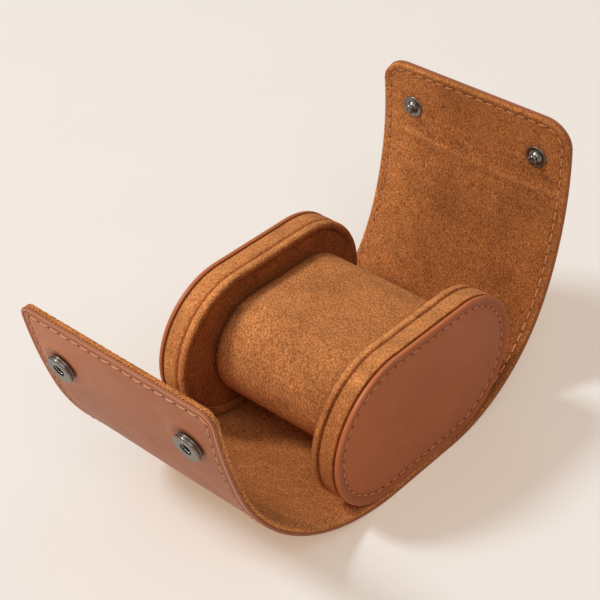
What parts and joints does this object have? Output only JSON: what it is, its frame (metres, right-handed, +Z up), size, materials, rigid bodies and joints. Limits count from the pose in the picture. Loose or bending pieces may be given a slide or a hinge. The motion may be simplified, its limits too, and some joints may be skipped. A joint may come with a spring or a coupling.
{
  "type": "watch travel case",
  "caption": "Roll-up leather travel case for a wristwatch: stadium end caps, suede-covered cushion and a wrap that closes with press studs.",
  "frame": {"origin": "on the supporting surface, below the middle of the end caps", "axes": "+X along the cushion towards the right cap, +Y from the front flap towards the rear flap, +Z up"},
  "size_m": [0.088, 0.1982, 0.1149],
  "materials": {
    "leather": "satin",
    "cap_leather": "satin",
    "suede": "matte",
    "cushion_suede": "matte",
    "board": "matte",
    "foam": "matte",
    "stud_metal": "polished",
    "spring_steel": "polished"
  },
  "bodies": {
    "case": {"base_leather": "leather", "base_board": "board", "base_lining": "suede", "cap_right_panel": "cap_leather", "cap_right_board": "board", "cap_right_core": "foam", "cap_right_band": "suede", "cap_right_lip": "suede", "cap_right_inner_board": "board", "cap_right_inner_panel": "suede", "cap_left_panel": "cap_leather", "cap_left_board": "board", "cap_left_core": "foam", "cap_left_band": "suede", "cap_left_lip": "suede", "cap_left_inner_board": "board", "cap_left_inner_panel": "suede"},
    "front_strip_1": {"front_leather_1": "leather", "front_lining_1": "suede"},
    "front_strip_2": {"front_leather_2": "leather", "front_lining_2": "suede"},
    "front_strip_3": {"front_leather_3": "leather", "front_lining_3": "suede"},
    "front_strip_4": {"front_leather_4": "leather", "front_lining_4": "suede"},
    "front_strip_5": {"front_leather_5": "leather", "front_lining_5": "suede"},
    "front_strip_6": {"front_leather_6": "leather", "front_lining_6": "suede", "front_stiffener": "board", "snap_sockets": "stud_metal", "socket_springs": "spring_steel", "socket_posts": "spring_steel"},
    "rear_strip_1": {"rear_leather_1": "leather", "rear_lining_1": "suede"},
    "rear_strip_2": {"rear_leather_2": "leather", "rear_lining_2": "suede"},
    "rear_strip_3": {"rear_leather_3": "leather", "rear_lining_3": "suede"},
    "rear_strip_4": {"rear_leather_4": "leather", "rear_lining_4": "suede"},
    "rear_strip_5": {"rear_leather_5": "leather", "rear_lining_5": "suede"},
    "rear_strip_6": {"rear_leather_6": "leather", "rear_lining_6": "suede", "rear_stiffener": "board", "snap_studs": "stud_metal", "snap_caps": "stud_metal"},
    "cushion": {"cushion_cover": "cushion_suede", "cushion_core": "foam", "cushion_end_boards": "board"}
  },
  "joints": [
    {"name": "front_hinge_1", "type": "hinge", "parent": "case", "child": "front_strip_1", "pos_m": [0, -0.02519, 0.00313], "axis": [-1, 0, 0], "range_deg": [-2, 9.77]},
    {"name": "front_hinge_2", "type": "hinge", "parent": "front_strip_1", "child": "front_strip_2", "pos_m": [0, -0.04412, 0.00736], "axis": [-1, 0, 0], "range_deg": [-5.71, 27.87]},
    {"name": "front_hinge_3", "type": "hinge", "parent": "front_strip_2", "child": "front_strip_3", "pos_m": [0, -0.06166, 0.01561], "axis": [-1, 0, 0], "range_deg": [-3.72, 18.16]},
    {"name": "front_hinge_4", "type": "hinge", "parent": "front_strip_3", "child": "front_strip_4", "pos_m": [0, -0.07699, 0.02749], "axis": [-1, 0, 0], "range_deg": [-4.48, 21.89]},
    {"name": "front_hinge_5", "type": "hinge", "parent": "front_strip_4", "child": "front_strip_5", "pos_m": [0, -0.08936, 0.04242], "axis": [-1, 0, 0], "range_deg": [-4.47, 21.8]},
    {"name": "front_hinge_6", "type": "hinge", "parent": "front_strip_5", "child": "front_strip_6", "pos_m": [0, -0.09817, 0.05969], "axis": [-1, 0, 0], "range_deg": [-1.28, 6.25]},
    {"name": "rear_hinge_1", "type": "hinge", "parent": "case", "child": "rear_strip_1", "pos_m": [0, 0.02569, 0.00298], "axis": [1, 0, 0], "range_deg": [-2.8, 10.51]},
    {"name": "rear_hinge_2", "type": "hinge", "parent": "rear_strip_1", "child": "rear_strip_2", "pos_m": [0, 0.04401, 0.00823], "axis": [1, 0, 0], "range_deg": [-4.25, 15.93]},
    {"name": "rear_hinge_3", "type": "hinge", "parent": "rear_strip_2", "child": "rear_strip_3", "pos_m": [0, 0.05967, 0.01909], "axis": [1, 0, 0], "range_deg": [-4.01, 15.03]},
    {"name": "rear_hinge_4", "type": "hinge", "parent": "rear_strip_3", "child": "rear_strip_4", "pos_m": [0, 0.071, 0.03442], "axis": [1, 0, 0], "range_deg": [-3.84, 14.4]},
    {"name": "rear_hinge_5", "type": "hinge", "parent": "rear_strip_4", "child": "rear_strip_5", "pos_m": [0, 0.07785, 0.05255], "axis": [1, 0, 0], "range_deg": [-2.9, 10.89]},
    {"name": "rear_hinge_6", "type": "hinge", "parent": "rear_strip_5", "child": "rear_strip_6", "pos_m": [0, 0.08134, 0.07186], "axis": [1, 0, 0], "range_deg": [-5.14, 19.29]},
    {"name": "cushion_lift", "type": "slide", "parent": "case", "child": "cushion", "axis": [0, 0, 1], "range_m": [-0.0055, 0.0055]}
  ],
  "couplings": [
    {"joint": "front_hinge_2", "follows": "front_hinge_1", "ratio": 2.854},
    {"joint": "front_hinge_3", "follows": "front_hinge_1", "ratio": 1.8588},
    {"joint": "front_hinge_4", "follows": "front_hinge_1", "ratio": 2.2414},
    {"joint": "front_hinge_5", "follows": "front_hinge_1", "ratio": 2.2321},
    {"joint": "front_hinge_6", "follows": "front_hinge_1", "ratio": 0.6397},
    {"joint": "rear_hinge_2", "follows": "rear_hinge_1", "ratio": 1.5155},
    {"joint": "rear_hinge_3", "follows": "rear_hinge_1", "ratio": 1.4299},
    {"joint": "rear_hinge_4", "follows": "rear_hinge_1", "ratio": 1.3697},
    {"joint": "rear_hinge_5", "follows": "rear_hinge_1", "ratio": 1.0358},
    {"joint": "rear_hinge_6", "follows": "rear_hinge_1", "ratio": 1.8347}
  ]
}
